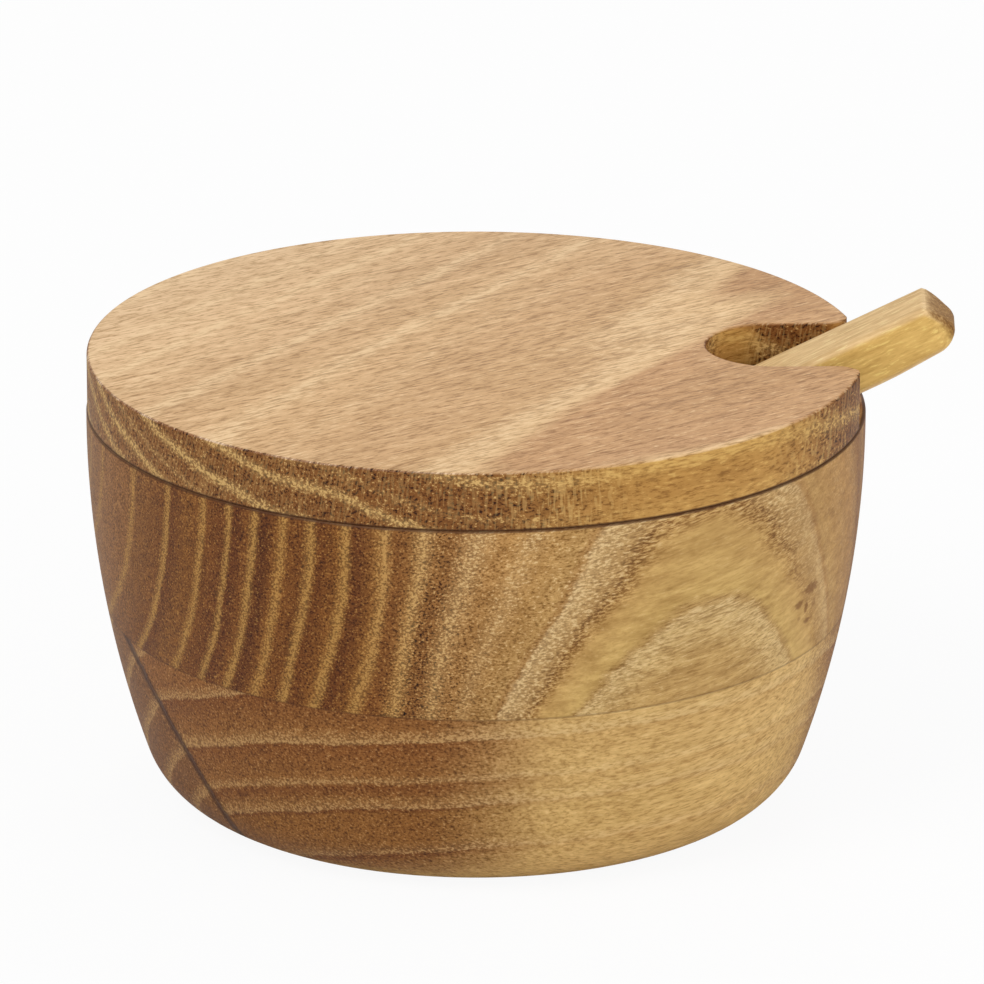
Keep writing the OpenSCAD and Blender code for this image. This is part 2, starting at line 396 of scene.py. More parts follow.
# What lies along the fibres: how long it is drawn, its scale, detail and roughness
for trait, drawn, scale, detail, roughness in (
        ("Pore", 0.16, grown["Pore Scale"], 3.0, 0.66), ("Fleck", 0.16, 0.7, 2.0, 0.6),
        ("Streak", 0.03, 0.8, 3.0, 0.6), ("Cloud", 0.3, 0.045, 3.0, 0.55)):
    noise = noise_node(
        structure, grown["Fibre Place"], (drawn, 1, 1), scale, detail, roughness)
    structure.links.new(noise, grown_out[trait])

turn_angle = math_node(structure, "ARCTAN2", axes.outputs["Z"], axes.outputs["Y"])
ray_place = node_at(structure, "ShaderNodeCombineXYZ")
for axis, value, drawn in (
        ("X", axes.outputs["X"], 0.3), ("Y", turn_angle, grown["Ray Radius"]), ("Z", ring, 0.12)):
    feed(structure, ray_place.inputs[axis], times(structure, value, drawn))
ray_scale = 3.2
ray = noise_node(structure, ray_place.outputs["Vector"], (1, 1, 1), ray_scale, 1.0, 0.4)
structure.links.new(mapped(structure, ray, 0.5, 0.62), grown_out["Ray"])

# The finish of oiled timber: the ground colour of the wood with its pale pores, which lie thick
# in the bands of spring growth and show most where the fibres end at the surface, its dark gaps
# and its pale rays. A Flame is a dark line of growth, and Coarse is how rough the grain is.

finish = bpy.data.node_groups.new("oiled_timber", "ShaderNodeTree")
new_sockets(finish, "INPUT", "NodeSocketColor", (
    "Ground", "Long Ground", "Upright Shade Tint", "End Tint", "Pale", "Pale On End"))
new_sockets(finish, "INPUT", "NodeSocketFloat", (
    "Band", "End Grain", "Pore", "Fleck", "Streak", "Ray", "Cloud", "Pore Level", "Band Reach",
    "Pores On Long", "Pores On End", "Haze", "Dark Depth", "Streak Depth", "Fleck Depth",
    "Cloud Depth", "Ray Depth", "Grain Depth", "Calm", "Upright", "Flame", "Coarse"))
new_sockets(finish, "OUTPUT", "NodeSocketColor", ("Colour",))
new_sockets(finish, "OUTPUT", "NodeSocketFloat", ("Roughness", "Height"))
fin = node_at(finish, "NodeGroupInput").outputs
finish_out = node_at(finish, "NodeGroupOutput").inputs
no_tint = (1, 1, 1, 1)
flame_tint = (0.50, 0.36, 0.22, 1)
rough_on_long = 0.4
gap_from, gap_full = 0.50, 0.34
flame_from, flame_full = 0.56, 0.44
pore_edge = 0.08
past_full_end = 1.15
plain_roughness, streak_roughness, pore_roughness = 0.46, 0.14, 0.08
grain_height, streak_height, pore_height = 0.7, 0.4, -0.25

level = times(finish, *[
    swing(finish, fin[trait], fin[trait + " Depth"]) for trait in ("Streak", "Cloud", "Fleck")])
rough_share = mapped(finish, fin["End Grain"], 0, 1, rough_on_long, 1.0)
rough_share = times(finish, rough_share, fin["Coarse"])
grain_depth = times(finish, fin["Grain Depth"], rough_share)
level = times(finish, level, swing(finish, fin["Pore"], grain_depth))
gap = mapped(finish, fin["Pore"], gap_from, gap_full)
gap = times(finish, gap, rough_share, fin["Dark Depth"])
level = times(finish, level, minus(finish, 1.0, gap))

tint = mixed(finish, fin["End Grain"], no_tint, fin["End Tint"])
# Painted shade: upright faces are stained by the upright shade tint, darker and more golden than
# level faces, whose paler colour stands in for the sheen that lights them
tint = mixed(finish, fin["Upright"], tint, stained(finish, tint, fin["Upright Shade Tint"]))
calm = mapped(finish, fin["End Grain"], 0, 1, fin["Calm"], 0.0)
ground = mixed(finish, calm, fin["Ground"], fin["Long Ground"])

# Darker wood is also redder: green and blue fall faster than red
depths = node_at(finish, "ShaderNodeCombineXYZ")
for channel, power in (("X", 1.0), ("Y", 1.25), ("Z", 1.7)):
    feed(finish, depths.inputs[channel], math_node(finish, "POWER", level, power))
wood = stained(finish, stained(finish, ground, tint), depths.outputs["Vector"])

pale = mixed(finish, fin["End Grain"], fin["Pale"], fin["Pale On End"])
# The pale pores take the same painted shade on upright faces
pale = mixed(finish, fin["Upright"], pale, stained(finish, pale, fin["Upright Shade Tint"]))
pore_strength = mapped(finish, fin["End Grain"], 0, 1, fin["Pores On Long"], fin["Pores On End"])
pore_strength = times(finish, pore_strength, fin["Coarse"])
reach = minus(finish, fin["Pore Level"], times(finish, fin["Band"], fin["Band Reach"]))
pore = mapped(finish, fin["Pore"], reach, plus(finish, reach, pore_edge))
pore = times(finish, pore, pore_strength)

flame = times(finish, fin["Flame"], mapped(finish, fin["Pore"], flame_from, flame_full))
wood = mixed(finish, flame, wood, stained(finish, wood, flame_tint))
haze = times(finish, fin["Band"], fin["Haze"], pore_strength)
wood = mixed(finish, haze, wood, pale)
half_end = times(finish, fin["End Grain"], minus(finish, past_full_end, fin["End Grain"]))
wood = mixed(finish, times(finish, fin["Ray"], fin["Ray Depth"], half_end), wood, pale)
finish.links.new(mixed(finish, pore, wood, pale), finish_out["Colour"])

dull = math_node(finish, "MULTIPLY_ADD", fin["Streak"], streak_roughness, plain_roughness)
dull = math_node(finish, "MULTIPLY_ADD", pore, pore_roughness, dull)
finish.links.new(dull, finish_out["Roughness"])
relief = times(finish, fin["Streak"], streak_height)
relief = math_node(finish, "MULTIPLY_ADD", fin["Pore"], grain_height, relief)
relief = math_node(finish, "MULTIPLY_ADD", pore, pore_height, relief)
finish.links.new(relief, finish_out["Height"])


def ramp_over(tree, value, stops):
    """A colour ramp over the stops' own range; each stop is a place and a colour or a level."""
    low, high = min(stop[0] for stop in stops), max(stop[0] for stop in stops)
    ramp = node_at(tree, "ShaderNodeValToRGB")
    elements = ramp.color_ramp.elements
    while len(elements) < len(stops):
        elements.new(0.5)
    for element, (place, colour) in zip(elements, sorted(stops, key=lambda stop: stop[0])):
        element.position = (place - low) / (high - low)
        element.color = colour if isinstance(colour, tuple) else (colour, colour, colour, 1)
    tree.links.new(mapped(tree, value, low, high, kind="LINEAR"), ramp.inputs["Fac"])
    return ramp.outputs["Color"]


def placed(tree, place, azimuth, slope, shift=(0, 0)):
    """Object place in millimetres, turned so that X runs along an azimuth and a slope."""
    turn = node_at(tree, "ShaderNodeMapping")
    turn.inputs["Scale"].default_value = (1 / MM, 1 / MM, 1 / MM)
    turn.inputs["Rotation"].default_value = (0, 0, -radians(azimuth))
    tree.links.new(place, turn.inputs["Vector"])
    lean = node_at(tree, "ShaderNodeMapping")
    lean.inputs["Rotation"].default_value = (0, radians(slope), 0)
    lean.inputs["Location"].default_value = (0, shift[0], -shift[1])
    tree.links.new(turn.outputs["Vector"], lean.inputs["Vector"])
    return lean.outputs["Vector"]


def peaks(places):
    """Ramp stops for lines given as (ring radius, reach inwards, reach outwards, strength)."""
    return [stop for radius, inwards, outwards, strength in places
            for stop in ((radius - inwards, 0.0), (radius, strength), (radius + outwards, 0.0))]


# A ramp holds 32 stops, and each spring takes three
most_springs = 10
# Knot and glue browns are the wood's own; the seam brown is painted shade for the groove where the
# lid sits on the bowl's rim
knot_brown, glue_brown, seam_shade_brown = srgb(118, 72, 26), srgb(58, 28, 10), srgb(74, 40, 18)
knot_ragged, knot_from, knot_full = 1.2, 2.0, 1.2
glue_full_share = 0.3
# How far the painted seam shade reaches, in height and in from the outer edge, and how dark it gets
seam_reach, seam_full, seam_shade_depth = 0.45, 0.15, 0.85
seam_in_from, seam_in_full = 0.7, 0.4
# Faces count as upright, for the painted shade of the upright shade tint, between these levels of
# how level they are
flat_from, upright_full = 0.75, 0.25
relief_strength, relief_depth = 0.3, 0.15 * MM


def timber(name, heart, ring_axis, fibre, ground, springs, **look):
    """Solid timber, with every length in mm. heart is (sideways, height) of the ring centre;
    ring_axis and fibre are (azimuth, slope); ground is (ring radius, colour); springs are the
    pale bands and flames the dark lines as (ring radius, reach inwards, reach outwards,
    strength); second_heart is (heart, gain in radius, from, to); coarse is (ring radius, how
    rough); smooth_side is (direction, from, to, how rough there); pin_knots are (centre, half
    width, half height, depth); glue_lines are (normal, offset, half width, depth); the seam
    shades are (height, radius) of outer edges darkened as painted shade where lid and bowl
    meet; the upright shade tint stains upright faces as painted shade, darker than level
    faces. The rest of look are levels of the finish."""
    material = bpy.data.materials.new(name)
    material.use_nodes = True
    tree = material.node_tree
    surface = tree.nodes["Principled BSDF"]
    coordinates = node_at(tree, "ShaderNodeTexCoord").outputs
    place = coordinates["Object"]
    place_mm = vector_node(tree, "MULTIPLY", place, (1 / MM, 1 / MM, 1 / MM))

    growth = node_at(tree, "ShaderNodeGroup", node_tree=structure)
    feed(tree, growth.inputs["Ring Place"], placed(tree, place, *ring_axis, shift=heart))
    feed(tree, growth.inputs["Fibre Place"], placed(tree, place, *fibre))
    far_heart, ring_shift, shift_from, shift_to = look.get("second_heart", (heart, 0, -500, -501))
    for socket, number in (
            ("Warp", look.get("warp", 3.0)), ("Ray Radius", look.get("ray_radius", 60)),
            ("Pore Scale", look.get("pore_scale", 2.8)), ("Ring Shift", ring_shift),
            ("Heart Shift Y", far_heart[0] - heart[0]), ("Heart Shift Z", heart[1] - far_heart[1]),
            ("Shift From", heart[0] - shift_from), ("Shift To", heart[0] - shift_to)):
        growth.inputs[socket].default_value = number

    oiled = node_at(tree, "ShaderNodeGroup", node_tree=finish)
    ring_radius = growth.outputs["Ring"]
    ground = ramp_over(tree, ring_radius, [(radius, srgb(*colour)) for radius, colour in ground])
    feed(tree, oiled.inputs["Ground"], ground)
    band = 0.0
    for first in range(0, len(springs), most_springs):
        few = ramp_over(tree, ring_radius, peaks(springs[first:first + most_springs]))
        band = plus(tree, few, band)
    feed(tree, oiled.inputs["Band"], band)
    coarse = ramp_over(tree, ring_radius, look["coarse"]) if "coarse" in look else 1.0
    coarse_side = 1.0
    if "smooth_side" in look:
        direction, first, last, least = look["smooth_side"]
        on_side = vector_node(tree, "DOT_PRODUCT", place_mm, direction)
        coarse_side = mapped(tree, on_side, first, last, 1.0, least)
    feed(tree, oiled.inputs["Coarse"], times(tree, coarse, coarse_side))
    if "flames" in look:
        flame = ramp_over(tree, ring_radius, peaks(look["flames"]))
        feed(tree, oiled.inputs["Flame"], times(tree, flame, coarse_side))

    along = Euler((0, -radians(fibre[1]), radians(fibre[0]))).to_matrix() @ Vector((1, 0, 0))
    facing = vector_node(tree, "DOT_PRODUCT", coordinates["Normal"], tuple(along))
    facing = math_node(tree, "ABSOLUTE", facing)
    end_from, end_to = look.get("end_grain", (0.35, 0.7))
    feed(tree, oiled.inputs["End Grain"], mapped(tree, facing, end_from, end_to))
    # How upright a face is, which sets its share of the painted shade
    flat = vector_node(tree, "DOT_PRODUCT", coordinates["Normal"], (0, 0, 1))
    flat = math_node(tree, "ABSOLUTE", flat)
    feed(tree, oiled.inputs["Upright"], mapped(tree, flat, flat_from, upright_full))
    for socket in ("Pore", "Fleck", "Streak", "Ray", "Cloud"):
        tree.links.new(growth.outputs[socket], oiled.inputs[socket])
    oiled.inputs["End Tint"].default_value = look.get("end_tint", (0.39, 0.27, 0.24)) + (1,)
    # The upright shade tint is painted shade; white leaves upright faces as they are
    oiled.inputs["Upright Shade Tint"].default_value = look.get("side_tint", (1, 1, 1)) + (1,)
    oiled.inputs["Long Ground"].default_value = srgb(*look.get("long_ground", (192, 154, 94)))
    oiled.inputs["Pale"].default_value = srgb(*look.get("pale", (226, 196, 144)))
    oiled.inputs["Pale On End"].default_value = srgb(*look.get("pale_on_end", (196, 154, 98)))
    for socket, key, usual in (
            ("Pore Level", "pore_level", 0.60), ("Band Reach", "band_reach", 0.16),
            ("Pores On Long", "pores_on_long", 0.3), ("Pores On End", "pores_on_end", 0.75),
            ("Haze", "haze", 0.35), ("Dark Depth", "dark", 0.5), ("Streak Depth", "streak", 0.5),
            ("Fleck Depth", "fleck", 0.5), ("Cloud Depth", "cloud", 0.3), ("Ray Depth", "ray", 0.1),
            ("Grain Depth", "grain", 0.9), ("Calm", "calm", 0.0)):
        oiled.inputs[socket].default_value = look.get(key, usual)

    colour = oiled.outputs["Colour"]
    for centre, half_width, half_height, depth in look.get("pin_knots", ()):
        away = vector_node(tree, "SUBTRACT", place_mm, centre)
        squash = (1 / half_width, 1 / half_width, 1 / half_height)
        away = vector_node(tree, "LENGTH", vector_node(tree, "MULTIPLY", away, squash))
        away = math_node(tree, "MULTIPLY_ADD", growth.outputs["Pore"], knot_ragged, away)
        knot = times(tree, mapped(tree, away, knot_from, knot_full), depth)
        colour = mixed(tree, knot, colour, knot_brown)
    for normal, offset, half_width, depth in look.get("glue_lines", ()):
        away = minus(tree, vector_node(tree, "DOT_PRODUCT", place_mm, normal), offset)
        away = math_node(tree, "ABSOLUTE", away)
        line = times(tree, mapped(tree, away, half_width, half_width * glue_full_share), depth)
        colour = mixed(tree, line, colour, glue_brown)

    # Painted shade: the outer edges at the lid's seam are darkened, for the shade in the groove
    # between lid and bowl
    for seam_z, seam_r in look.get("seams", ()):
        from_axis = vector_node(
            tree, "LENGTH", vector_node(tree, "MULTIPLY", place_mm, (1, 1, 0)))
        at_edge = mapped(tree, from_axis, seam_r - seam_in_from, seam_r - seam_in_full)
        away = minus(tree, vector_node(tree, "DOT_PRODUCT", place_mm, (0, 0, 1)), seam_z)
        away = math_node(tree, "ABSOLUTE", away)
        seam = times(tree, mapped(tree, away, seam_reach, seam_full), at_edge, seam_shade_depth)
        colour = mixed(tree, seam, colour, seam_shade_brown)

    bump = node_at(tree, "ShaderNodeBump")
    bump.inputs["Strength"].default_value = relief_strength
    bump.inputs["Distance"].default_value = relief_depth
    tree.links.new(oiled.outputs["Height"], bump.inputs["Height"])
    tree.links.new(bump.outputs["Normal"], surface.inputs["Normal"])
    tree.links.new(colour, surface.inputs["Base Color"])
    tree.links.new(oiled.outputs["Roughness"], surface.inputs["Roughness"])
    surface.inputs["Specular IOR Level"].default_value = 0.2
    return material


level_glue_line = ((0, 0, 1), glue_line_z / MM, 0.25, 0.35)
strip_glue_line = (strip_side, strip_foot_x / MM * strip_side[0], 0.75, 0.75)
# Painted shade on the rim's outer edge, where the lid meets the bowl
bowl_seam_shade = (bowl_height / MM, rim_r / MM)
upper_wood = timber(
    "upper_board_timber", heart=(-39, 62), ring_axis=(34.5, 0), fibre=(34.5, 7),
    ground=[
        (0, (214, 184, 150)), (30, (204, 164, 120)), (36, (190, 148, 98)),
        (41, (178, 132, 80)), (43.8, (160, 112, 68)), (47, (186, 142, 84)),
        (52, (172, 124, 72)), (56.8, (150, 100, 58)), (58.6, (180, 132, 78)),
        (61.8, (138, 90, 50)), (63.5, (186, 138, 80)), (66, (176, 128, 72)),
        (69.9, (160, 110, 58)), (72, (188, 142, 82)), (74.8, (148, 98, 52)),
        (77, (192, 146, 84)), (79.8, (172, 122, 66)), (82, (186, 140, 80)),
        (85.5, (164, 116, 62)), (89, (184, 138, 80)), (93, (178, 134, 76)),
        (95.9, (184, 144, 86)), (96.2, (158, 112, 60)), (96.6, (186, 148, 94)),
        (98.3, (176, 136, 80)), (99.4, (190, 150, 88)), (101.6, (198, 162, 96)),
        (101.8, (176, 138, 80)), (102.2, (196, 162, 104)), (104.2, (188, 150, 90)),
        (106, (178, 140, 82))],
    springs=[
        (14, 1.2, 1.2, 0.6), (21, 1.2, 1.2, 0.7), (33, 1.3, 1.3, 0.8), (42.7, 1.4, 0.8, 1.0),
        (50.4, 1.4, 0.9, 0.9), (55.5, 1.2, 0.8, 1.0), (60, 1.2, 0.9, 1.0), (64.4, 1.2, 1.1, 0.9),
        (68.6, 1.4, 0.8, 1.0), (73.2, 1.3, 0.9, 1.0), (78.1, 1.5, 1.2, 0.9),
        (82.5, 1.6, 1.6, 0.7), (87.8, 2.2, 2, 0.55), (92.3, 1.5, 1.5, 0.35),
        (96.5, 0.3, 2.6, 0.62), (102.1, 0.3, 1.8, 0.5)],
    second_heart=((-73, 86.6), -36.4, 36, 50), end_grain=(0.45, 0.85), warp=1.6,
    pores_on_long=0.55, pores_on_end=0.6, fleck=0.8, haze=0.5, dark=0.8, grain=1.8,
    pore_level=0.59, pore_scale=3.2, ray_radius=60,
    end_tint=(0.43, 0.29, 0.16), pale_on_end=(204, 157, 84),
    coarse=[
        (0, 0.8), (80, 0.9), (84, 1.5), (95.9, 1.3), (96.2, 1.5), (98.4, 1.3), (99.6, 0.35),
        (101.6, 0.3), (101.9, 1.2), (103.6, 0.8), (106, 0.35)],
    smooth_side=((1, 0, 0), 42, 50, 0.3), flames=[(98.7, 0.7, 1.0, 1.0)],
    glue_lines=[level_glue_line], seams=[bowl_seam_shade],
    pin_knots=[
        ((49.9, -31.5, 42.6), 2.0, 0.9, 0.7), ((47.9, -34.1, 40.7), 1.15, 0.6, 0.7),
        ((49.3, -32.2, 39.5), 0.6, 1.0, 0.75), ((50.5, -30.2, 39.7), 0.7, 0.8, 0.45),
        ((49.6, -31.4, 37.2), 1.0, 0.5, 0.7), ((48.1, -33.6, 38.2), 0.5, 0.4, 0.4)])
lower_wood = timber(
    "lower_board_timber", heart=(60, -140), ring_axis=(34.5, 0), fibre=(34.5, 5),
    ground=[
        (135, (196, 160, 98)), (148.2, (196, 158, 98)), (149.2, (168, 122, 70)),
        (151, (200, 164, 102)), (156.4, (196, 158, 94)), (156.9, (166, 120, 66)),
        (158.4, (202, 166, 104)), (160.8, (178, 134, 78)), (162, (204, 168, 108)),
        (167.6, (186, 142, 84)), (168, (170, 124, 70)), (169.2, (204, 168, 108)),
        (175.6, (180, 136, 80)), (176.2, (168, 120, 68)), (177.5, (196, 156, 98)),
        (210, (190, 150, 98))],
    springs=[
        (149.6, 0.5, 2.0, 0.7), (157.3, 0.4, 2.4, 0.8), (161.6, 0.6, 1.2, 0.8),
        (168.5, 0.5, 2.4, 1.0), (176.6, 0.5, 2.0, 0.9), (184, 0.5, 2.2, 0.9),
        (191, 0.5, 2.2, 0.8), (199, 0.5, 2.2, 0.8)],
    end_grain=(0.35, 0.72), warp=2.0, pores_on_long=0.28, calm=0.7, grain=1.6, ray_radius=165,
    long_ground=(209, 171, 106), end_tint=(0.46, 0.29, 0.175),
    glue_lines=[level_glue_line, strip_glue_line])
strip_wood = timber(
    "side_strip_timber", heart=(75, -85), ring_axis=(34.5, 0), fibre=(34.5, 5),
    ground=[(100, (196, 158, 104)), (130, (190, 150, 100)), (170, (198, 164, 120))],
    springs=[(radius, 0.6, 2.4, 0.9) for radius in (112, 120, 127, 135, 143, 152)],
    end_tint=(0.42, 0.28, 0.175), grain=1.6, ray_radius=130,
    glue_lines=[level_glue_line, strip_glue_line])

for piece, material, node, slot in (
        (upper_board, upper_wood, "bowl_upper_board", "bowl_upper_wood"),
        (lower_board, lower_wood, "bowl_lower_board", "bowl_lower_wood"),
        (side_strip, strip_wood, "bowl_side_strip", "bowl_strip_wood")):
    shade(piece)
    piece.data.materials.append(material)
    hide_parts(node)
    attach(piece, "bowl")


# ---- Lid ----
# One board, turned to a disc that is flush with the bowl, with a ring below that drops into
# the mouth and a shallow dish inside it. The notch for the spoon is cut through the edge.

lid_r = 59.85 * MM
lid_thickness = 9.1 * MM
lid_top = bowl_height + lid_thickness
lid_edge_r = 0.5 * MM
lid_seat_edge_r = 0.25 * MM
plug_r = mouth_r - 0.7 * MM
plug_bottom = bowl_height - 3 * MM
dish_r = plug_r - 6 * MM
dish_top = bowl_height + 2.5 * MM
dish_edge_r = 1.5 * MM
plug_lead_in = 0.6 * MM

lid_section = (
    [(dish_r, plug_bottom), (plug_r - plug_lead_in, plug_bottom),
     (plug_r, plug_bottom + plug_lead_in), (plug_r, bowl_height)]
    + arc(lid_r - lid_seat_edge_r, bowl_height + lid_seat_edge_r, lid_seat_edge_r, -90, 0, 4)
    + arc(lid_r - lid_edge_r, lid_top - lid_edge_r, lid_edge_r, 0, 90, 5))
lid = turned("lid_turned", lid_section)


def pick(piece, kind, test):
    """Select the faces or edges of the active piece that pass a test, in edit mode."""
    bpy.ops.object.mode_set(mode="EDIT")
    bpy.ops.mesh.select_mode(type=kind)
    bpy.ops.mesh.select_all(action="DESELECT")
    shell = bmesh.from_edit_mesh(piece.data)
    for item in (shell.edges if kind == "EDGE" else shell.faces):
        if test(item):
            item.select_set(True)
    bmesh.update_edit_mesh(piece.data)


def in_foot(face):
    return face.normal.z < -0.9 and face.calc_center_median().xy.length < dish_r / 2


# The foot of the turning is the ring's mouth: it is sunk to the dish's face
pick(lid, "FACE", in_foot)
extrude_round(
    [(dish_r, plug_bottom)]
    + arc(dish_r - dish_edge_r, dish_top - dish_edge_r, dish_edge_r, 0, 90, 5))
bpy.ops.mesh.select_all(action="SELECT")
bpy.ops.mesh.normals_make_consistent(inside=False)
bpy.ops.object.mode_set(mode="OBJECT")

# The notch's cutter: a bar with a round inner end, which flares where it leaves the edge
notch_width = 21 * MM
notch_end_x = lid_r - 24.5 * MM
notch_mouth_r = 3.5 * MM
notch_edge_r = 0.45 * MM
flare_x = 58.1 * MM
notch_end_r = notch_width / 2 * 0.999
cutter_height = 30 * MM
cutter_past_edge, cutter_past_side = 10 * MM, 12 * MM
touching, close_by = 0.01 * MM, 0.1 * MM
bpy.ops.object.select_all(action="DESELECT")
bpy.ops.mesh.primitive_cube_add(size=1)
cutter = bpy.context.object
cutter.name = "notch_cutter"
cutter.scale = (flare_x - notch_end_x, notch_width, cutter_height)
cutter.location = ((flare_x + notch_end_x) / 2, 0, bowl_height)
place_in_mesh(cutter)


def upright(edge):
    low, high = (vert.co for vert in edge.verts)
    return (low.xy - high.xy).length < touching


def at_inner_end(edge):
    return upright(edge) and edge.verts[0].co.x < notch_end_x + MM


def at_mouth_corner(edge):
    corner = edge.verts[0].co
    return (upright(edge) and abs(corner.x - flare_x) < close_by
            and abs(abs(corner.y) - notch_width / 2) < close_by)


pick(cutter, "FACE", lambda face: face.normal.x > 0.9)
bpy.ops.mesh.extrude_region_move(TRANSFORM_OT_translate={"value": (cutter_past_edge, 0, 0)})
bpy.ops.object.mode_set(mode="OBJECT")
for side in (1, -1):
    pick(cutter, "FACE", lambda face: (
        face.normal.y * side > 0.9 and face.calc_center_median().x > flare_x))
    bpy.ops.mesh.extrude_region_move(
        TRANSFORM_OT_translate={"value": (0, side * cutter_past_side, 0)})
    bpy.ops.object.mode_set(mode="OBJECT")
for test, radius, segments in (
        (at_inner_end, notch_end_r, 24), (at_mouth_corner, notch_mouth_r, 10)):
    pick(cutter, "EDGE", test)
    bpy.ops.mesh.bevel(offset=radius, segments=segments, affect="EDGES", clamp_overlap=False)
    bpy.ops.object.mode_set(mode="OBJECT")


def carve(piece, tool):
    """Cut a tool's shape out of a piece, and put the tool away."""
    take_up(piece)
    cut = piece.modifiers.new("cut", "BOOLEAN")
    cut.operation = "DIFFERENCE"
    cut.solver = "EXACT"
    cut.object = tool
    bpy.ops.object.modifier_apply(modifier=cut.name)
    bpy.data.objects.remove(tool, do_unlink=True)


carve(lid, cutter)


def on_notch_edge(edge):
    """Whether an edge lies on the notch's outline in the lid's face."""
    for vert in edge.verts:
        if abs(vert.co.z - lid_top) > touching:
            return False
        if vert.co.xy.length > lid_r - lid_edge_r - touching:
            return False
        if vert.co.x < notch_end_x - MM or abs(vert.co.y) > notch_width / 2 + notch_mouth_r:
            return False
    walls = [abs(face.normal.z) for face in edge.link_faces]
    return min(walls) < 0.5 < max(walls)


pick(lid, "EDGE", on_notch_edge)
bpy.ops.mesh.bevel(offset=notch_edge_r, segments=3, affect="EDGES", clamp_overlap=False)
bpy.ops.object.mode_set(mode="OBJECT")

# Painted shade on the lid's lower outer edge, where it meets the bowl's rim
lid_seam_shade = (bowl_height / MM, lid_r / MM)
lid_wood = timber(
    "lid_timber", heart=(44, 212), ring_axis=(48, -4), fibre=(34, 0),
    ground=[
        (134, (198, 152, 102)), (141.4, (192, 146, 98)), (142.2, (220, 182, 132)),
        (144.4, (200, 158, 108)), (147, (204, 162, 114)), (152, (212, 172, 124)),
        (157, (206, 166, 120)), (164, (220, 182, 136)), (172, (226, 190, 146)),
        (185, (228, 194, 150))],
    springs=[
        (143.3, 1.3, 1.8, 0.7), (149, 0.8, 1.0, 0.3), (152.4, 1.2, 1.2, 0.9),
        (157.5, 1.3, 1.2, 0.9), (161, 0.7, 0.8, 0.4), (164, 1.2, 1.2, 0.9),
        (168, 1.2, 1.2, 0.8), (174, 1.3, 1.3, 0.8)],
    second_heart=((44, 110), 99.55, 10, 26), end_grain=(0.12, 0.62), warp=1.6,
    pores_on_long=0.6, pores_on_end=1.0, haze=0.36, streak=0.35, dark=0.9, grain=1.0, ray=1.2,
    pore_scale=2.4, ray_radius=150, seams=[lid_seam_shade],
    # The upright shade tint is painted shade: the lid's edge and notch walls darker and more golden
    # than its face
    end_tint=(0.42, 0.295, 0.25), side_tint=(0.81, 0.70, 0.37), pale=(238, 206, 160),
    pale_on_end=(228, 198, 166))
shade(lid)
lid.data.materials.append(lid_wood)
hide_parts("lid")
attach(lid, "lid")


# ---- Spoon ----
# Whittled from one straight bar: a blunt handle with rounded corners, a slimmer neck and a
# small boat-shaped scoop. It leans on the rim in the notch, with its tip on the far wall.

spoon_slope = radians(26.7)
spoon_yaw = radians(-3.5)
spoon_shift = -1.3 * MM
rest_z = bowl_height + 0.2 * MM
handle_out = 24.2 * MM
handle_width, handle_thickness = 12.9 * MM, 8.2 * MM
neck_width = 10.5 * MM
scoop_width, scoop_length, scoop_thickness = 16.5 * MM, 38 * MM, 6.2 * MM
scoop_depth = 4.2 * MM
tip_gap = 1.6 * MM
nose_length, nose_rise, nose_drop = 15 * MM, 3.4 * MM, 1.2 * MM
neck_at = scoop_length + 8 * MM
handle_full_at = 88 * MM
end_round = 3.4 * MM
end_draw_in, end_draw_under = 4 * MM, 2.2 * MM
end_slant_along, end_slant_down, end_slant_curve = 2.8 * MM, 4.7 * MM, 1.3
end_lift, end_lift_along = 0.7 * MM, 4 * end_round
upper_corner_r = 1.6 * MM
handle_corner_r, scoop_corner_more = 1.5 * MM, 3 * MM
thicker_from, thicker_to = scoop_length - 4 * MM, neck_at + 14 * MM
corner_tighter_from = scoop_length - 8 * MM

hollow_corner_z = floor_thickness + hollow_corner_r
hollow_corner_x = arc_r0 + sqrt(
    (hollow_arc_r - hollow_corner_r) ** 2 - (arc_z0 - hollow_corner_z) ** 2)
across_hollow, above_corner = mouth_r + hollow_corner_x, rest_z - hollow_corner_z
far_along = across_hollow * cos(spoon_slope) + above_corner * sin(spoon_slope)
far_above = (above_corner * cos(spoon_slope) - across_hollow * sin(spoon_slope)
             + scoop_thickness / 2)
tip_in = far_along + sqrt(hollow_corner_r ** 2 - far_above ** 2) - tip_gap
spoon_length = tip_in + handle_out


def eased(x, first, last):
    t = min(1, max(0, (x - first) / (last - first)))
    return t * t * (3 - 2 * t)


def quarter_round(x, length):
    return 1 if x >= length else sqrt(1 - (1 - x / length) ** 2)


def spoon_section(x):
    """Half width, underside, top side and lower corner radius at x from the tip."""
    nose = quarter_round(x, nose_length)
    drawn = 1 - quarter_round(spoon_length - x, end_round)
    width = (scoop_width + (neck_width - scoop_width) * eased(x, nose_length, neck_at)
             + (handle_width - neck_width) * eased(x, neck_at, handle_full_at))
    under = (nose_rise * (1 - nose) + end_draw_under * drawn
             + end_lift * eased(x, spoon_length - end_lift_along, spoon_length))
    thickening = eased(x, thicker_from, thicker_to)
    slant = max(0, 1 - (spoon_length - x) / end_slant_along) ** end_slant_curve
    over = (scoop_thickness - nose_drop * (1 - nose) - end_slant_down * slant
            + (handle_thickness - scoop_thickness) * thickening)
    in_scoop = 1 - eased(x, corner_tighter_from, neck_at)
    lower_corner_r = handle_corner_r + scoop_corner_more * in_scoop
    return nose * width / 2 - end_draw_in * drawn, under, over, lower_corner_r


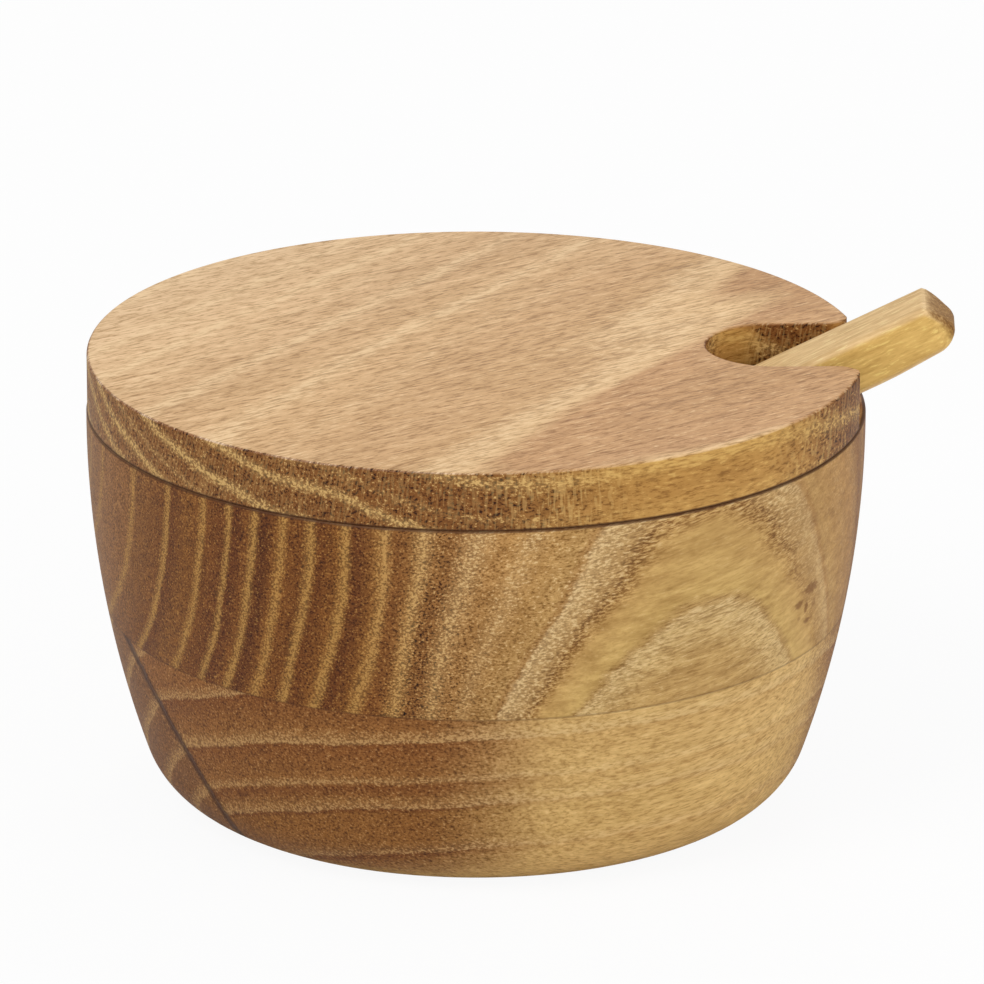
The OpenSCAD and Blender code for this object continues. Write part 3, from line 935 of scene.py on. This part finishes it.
nose_steps, body_steps, end_steps = 16, 44, 10
tip_flat, end_share = 0.04 * MM, 0.995
stations = [tip_flat + nose_length * (1 - cos(pi / 2 * i / nose_steps))
            for i in range(nose_steps)]
stations += [nose_length + (spoon_length - end_round - nose_length) * i / body_steps
             for i in range(body_steps)]
stations += [spoon_length - end_round * (1 - end_share * sin(pi / 2 * i / end_steps))
             for i in range(end_steps + 1)]

# Each section is a flat plate with four rounded corners; the spoon's skin bridges them
same_place = 1e-7
thinnest, corner_share = 0.02 * MM, 0.96
bpy.ops.object.select_all(action="DESELECT")
bpy.ops.mesh.primitive_plane_add(size=1, location=(0, 0, 0))
spoon = bpy.context.object
spoon.name = "spoon_whittled"
bpy.ops.object.mode_set(mode="EDIT")
bpy.ops.mesh.select_mode(type="VERT")
bpy.ops.mesh.select_all(action="SELECT")
bpy.ops.mesh.delete(type="VERT")


def pick_points(test):
    """Select the spoon's points that pass a test."""
    bpy.ops.mesh.select_all(action="DESELECT")
    shell = bmesh.from_edit_mesh(spoon.data)
    for vert in shell.verts:
        vert.select = test(vert.co)
    shell.select_flush_mode()
    bmesh.update_edit_mesh(spoon.data)


for station in stations:
    half_width, under, over, lower_corner_r = spoon_section(station)
    half_height = (over - under) / 2
    middle_z = (over + under) / 2
    middle = (station, 0, middle_z)
    bpy.ops.mesh.primitive_plane_add(size=2, location=middle, rotation=(0, pi / 2, 0))
    bpy.ops.transform.resize(value=(1, half_width, half_height), center_override=middle)
    for corner_r, lower in ((upper_corner_r, False), (lower_corner_r, True)):
        pick_points(lambda place: (
            abs(place.x - station) < same_place
            and abs(abs(place.y) - half_width) < same_place
            and abs(abs(place.z - middle_z) - half_height) < same_place
            and (place.z < middle_z) == lower))
        corner_r = min(corner_r, half_width - thinnest, half_height * corner_share)
        bpy.ops.mesh.bevel(offset=corner_r, segments=6, affect="VERTICES", clamp_overlap=False)
bpy.ops.mesh.select_all(action="SELECT")
bpy.ops.mesh.delete(type="ONLY_FACE")
bpy.ops.mesh.select_all(action="SELECT")
bpy.ops.mesh.bridge_edge_loops()
for end in (stations[0], stations[-1]):
    pick_points(lambda place: abs(place.x - end) < same_place)
    bpy.ops.mesh.edge_face_add()
bpy.ops.mesh.select_all(action="SELECT")
bpy.ops.mesh.normals_make_consistent(inside=False)
bpy.ops.object.mode_set(mode="OBJECT")

# The scoop is hollowed with a round gouge
gouge_r, gouge_length_share = 7.5 * MM, 1.86
gouge_x = 17.7 * MM
bpy.ops.object.select_all(action="DESELECT")
bpy.ops.mesh.primitive_uv_sphere_add(
    segments=72, ring_count=48, radius=gouge_r,
    location=(gouge_x, 0, scoop_thickness - scoop_depth + gouge_r), rotation=(0, pi / 2, 0))
gouge = bpy.context.object
gouge.scale = (1, 1, gouge_length_share)
place_in_mesh(gouge)
carve(spoon, gouge)

spoon.matrix_world = (
    Matrix.Translation((mouth_r, spoon_shift, rest_z))
    @ Euler((0, -spoon_slope, spoon_yaw)).to_matrix().to_4x4()
    @ Matrix.Translation((-tip_in, 0, 0)))
place_in_mesh(spoon)
spoon_wood = timber(
    "spoon_timber", heart=(12, 6), ring_axis=(-3.5, 26.7), fibre=(-3.5, 26.7),
    ground=[
        (0, (226, 190, 136)), (10, (220, 184, 128)), (13, (212, 174, 118)),
        (16, (228, 192, 138)), (19, (220, 182, 126)), (24, (228, 192, 138)),
        (60, (222, 186, 130))],
    springs=[(9, 1, 1, 0.5), (13, 1.2, 1, 0.7), (17, 1, 1, 0.7), (21, 1, 1, 0.6)],
    end_grain=(0.6, 0.95), pores_on_long=0.85, fleck=0.7, dark=0.2, grain=0.8,
    pore_level=0.56, pore_scale=2.2, ray_radius=12,
    # The upright shade tint is painted shade: the spoon's sides darker and more golden than its top
    pale=(240, 214, 156), side_tint=(0.92, 0.86, 0.54), end_tint=(0.39, 0.28, 0.14))
shade(spoon)
spoon.data.materials.append(spoon_wood)
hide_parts("spoon")
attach(spoon, "spoon")
